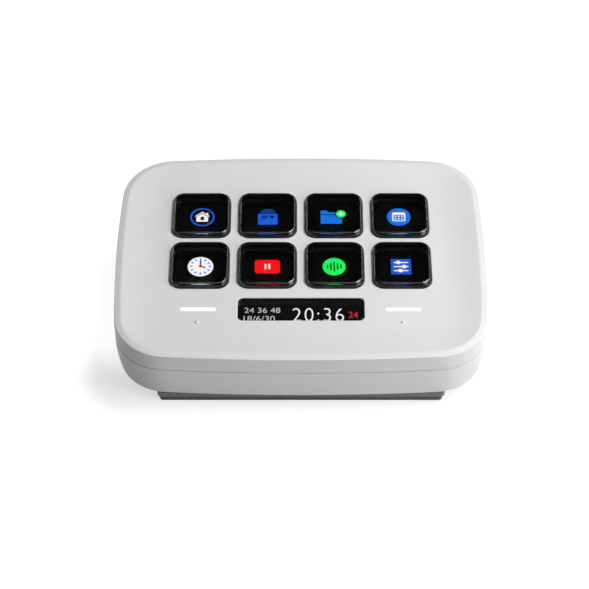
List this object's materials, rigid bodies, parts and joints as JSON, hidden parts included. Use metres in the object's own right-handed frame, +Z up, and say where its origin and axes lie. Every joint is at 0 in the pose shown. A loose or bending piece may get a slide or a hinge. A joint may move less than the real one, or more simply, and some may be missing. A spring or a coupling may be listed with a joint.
{
  "type": "desk keypad with display keys",
  "caption": "Tilted desk keypad with square display keys that press down, a strip display between two lit touch bars, and a low rubber foot.",
  "frame": {"origin": "middle of the rubber foot's underside", "axes": "+Z up, +X to the user's right, +Y to the back; the front edge faces -Y"},
  "size_m": [0.107, 0.0779, 0.026],
  "materials": {
    "shell_plastic": "fine matt moulding",
    "base_plastic": "smooth satin",
    "foot_rubber": "matt",
    "lens_clear": "clear lens over a dark display, polished",
    "smoked_window": "smoked window, polished",
    "frame_black": "black moulding",
    "collar_silicone": "matt silicone",
    "board_green": "solder mask",
    "display_glass": "display glass",
    "steel_plate": "stamped sheet",
    "ribbon_film": "polyimide film",
    "chip_black": "moulded package",
    "socket_steel": "plated shell",
    "screw_steel": "zinc plated",
    "diffuser_white": "milky diffuser",
    "electrode_copper": "bare copper"
  },
  "bodies": {
    "housing": {"top_shell": "shell_plastic", "bottom_shell": "shell_plastic", "base_plate": "base_plastic", "rubber_foot": "foot_rubber", "ballast_plate": "steel_plate", "key_guide_frame": "frame_black", "contact_board": "board_green", "lcd_panel": "display_glass", "lcd_tray": "steel_plate", "lcd_ribbon": "ribbon_film", "strip_pane": "smoked_window", "strip_display": "display_glass", "strip_ribbon": "ribbon_film", "main_board": "board_green", "board_chips": "chip_black", "usb_c_socket": "socket_steel", "case_screws": "screw_steel", "board_screws": "screw_steel", "tray_screws": "screw_steel", "light_bar_left": "diffuser_white", "light_bar_right": "diffuser_white", "led_board_left": "board_green", "led_board_right": "board_green", "touch_electrode_left": "electrode_copper", "touch_electrode_right": "electrode_copper", "collar_1": "collar_silicone", "collar_2": "collar_silicone", "collar_3": "collar_silicone", "collar_4": "collar_silicone", "collar_5": "collar_silicone", "collar_6": "collar_silicone", "collar_7": "collar_silicone", "collar_8": "collar_silicone"},
    "key_1": {"key_cap_1": "lens_clear", "key_frame_1": "frame_black"},
    "key_2": {"key_cap_2": "lens_clear", "key_frame_2": "frame_black"},
    "key_3": {"key_cap_3": "lens_clear", "key_frame_3": "frame_black"},
    "key_4": {"key_cap_4": "lens_clear", "key_frame_4": "frame_black"},
    "key_5": {"key_cap_5": "lens_clear", "key_frame_5": "frame_black"},
    "key_6": {"key_cap_6": "lens_clear", "key_frame_6": "frame_black"},
    "key_7": {"key_cap_7": "lens_clear", "key_frame_7": "frame_black"},
    "key_8": {"key_cap_8": "lens_clear", "key_frame_8": "frame_black"}
  },
  "joints": [
    {"name": "key_1_press", "type": "slide", "parent": "housing", "child": "key_1", "axis": [0, -0.0785, 0.9969], "range_m": [-0.001, 0], "stiffness_N_per_m": 450, "springref_m": 0.0004, "deforming": ["collar_1"]},
    {"name": "key_2_press", "type": "slide", "parent": "housing", "child": "key_2", "axis": [0, -0.0785, 0.9969], "range_m": [-0.001, 0], "stiffness_N_per_m": 450, "springref_m": 0.0004, "deforming": ["collar_2"]},
    {"name": "key_3_press", "type": "slide", "parent": "housing", "child": "key_3", "axis": [0, -0.0785, 0.9969], "range_m": [-0.001, 0], "stiffness_N_per_m": 450, "springref_m": 0.0004, "deforming": ["collar_3"]},
    {"name": "key_4_press", "type": "slide", "parent": "housing", "child": "key_4", "axis": [0, -0.0785, 0.9969], "range_m": [-0.001, 0], "stiffness_N_per_m": 450, "springref_m": 0.0004, "deforming": ["collar_4"]},
    {"name": "key_5_press", "type": "slide", "parent": "housing", "child": "key_5", "axis": [0, -0.0785, 0.9969], "range_m": [-0.001, 0], "stiffness_N_per_m": 450, "springref_m": 0.0004, "deforming": ["collar_5"]},
    {"name": "key_6_press", "type": "slide", "parent": "housing", "child": "key_6", "axis": [0, -0.0785, 0.9969], "range_m": [-0.001, 0], "stiffness_N_per_m": 450, "springref_m": 0.0004, "deforming": ["collar_6"]},
    {"name": "key_7_press", "type": "slide", "parent": "housing", "child": "key_7", "axis": [0, -0.0785, 0.9969], "range_m": [-0.001, 0], "stiffness_N_per_m": 450, "springref_m": 0.0004, "deforming": ["collar_7"]},
    {"name": "key_8_press", "type": "slide", "parent": "housing", "child": "key_8", "axis": [0, -0.0785, 0.9969], "range_m": [-0.001, 0], "stiffness_N_per_m": 450, "springref_m": 0.0004, "deforming": ["collar_8"]}
  ]
}
